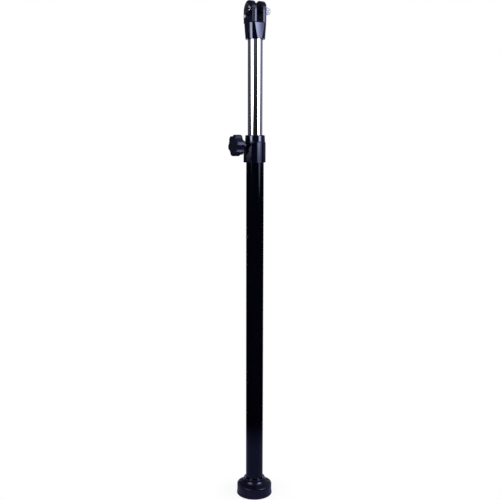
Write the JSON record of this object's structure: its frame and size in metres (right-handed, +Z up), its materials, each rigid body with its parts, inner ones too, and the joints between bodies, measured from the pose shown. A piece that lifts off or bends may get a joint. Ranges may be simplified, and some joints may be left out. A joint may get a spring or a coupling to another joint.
{
  "type": "telescopic music stand column",
  "caption": "Telescopic music stand column: chromed tube sliding in a black tube, screw clamp with star knob, forked head with pivot bolt, bell-shaped rubber foot.",
  "frame": {"origin": "centre of the foot's sole, on the floor", "axes": "+Z up along the column; the fork's bolt lies along X with its round head towards -X, the clamp knob stands towards -X and the fork's slot opens along Y"},
  "size_m": [0.0736, 0.0628, 0.8562],
  "materials": {
    "rubber": "semi-gloss moulded rubber",
    "zinc_steel": "bright zinc plate",
    "black_zinc": "black zinc plate",
    "black_paint": "gloss black baked enamel",
    "black_rivet": "black painted aluminium",
    "black_plastic": "gloss moulded",
    "knob_plastic": "satin moulded",
    "nylon": "natural nylon",
    "brass": "turned",
    "chrome": "polished chrome plate",
    "black_casting": "gloss black over a die casting",
    "black_fibre": "pressed black fibre"
  },
  "bodies": {
    "column": {"foot_boot": "rubber", "foot_washer": "zinc_steel", "outer_tube": "black_paint", "stop_rivet": "black_rivet", "clamp_collar": "black_plastic", "collar_rivet": "black_rivet", "guide_bush": "nylon", "thread_insert": "brass"},
    "glide": {"tube_glide": "nylon"},
    "mast": {"inner_tube": "chrome", "fork": "black_casting", "fork_rivet": "black_rivet", "pivot_bolt": "black_zinc", "pivot_washer": "black_zinc", "pivot_nut": "zinc_steel", "friction_washer_left": "black_fibre", "friction_washer_right": "black_fibre", "stop_pin": "zinc_steel"},
    "tip": {"pressure_tip": "nylon"},
    "knob": {"clamp_knob": "knob_plastic", "clamp_screw": "zinc_steel"}
  },
  "joints": [
    {"name": "height_slide", "type": "slide", "parent": "column", "child": "glide", "axis": [0, 0, 1], "range_m": [-0.155, 0.243]},
    {"name": "mast_swivel", "type": "hinge", "parent": "glide", "child": "mast", "pos_m": [0, 0, 0.5], "axis": [0, 0, 1], "continuous": true},
    {"name": "clamp_advance", "type": "slide", "parent": "column", "child": "tip", "axis": [-1, 0, 0], "range_m": [0, 0.0026]},
    {"name": "knob_turn", "type": "hinge", "parent": "tip", "child": "knob", "pos_m": [-0.03, 0, 0.6201], "axis": [-1, 0, 0], "range_deg": [0, 720]}
  ],
  "couplings": [
    {"joint": "clamp_advance", "follows": "knob_turn", "m_per_rad": 0.00019894}
  ]
}
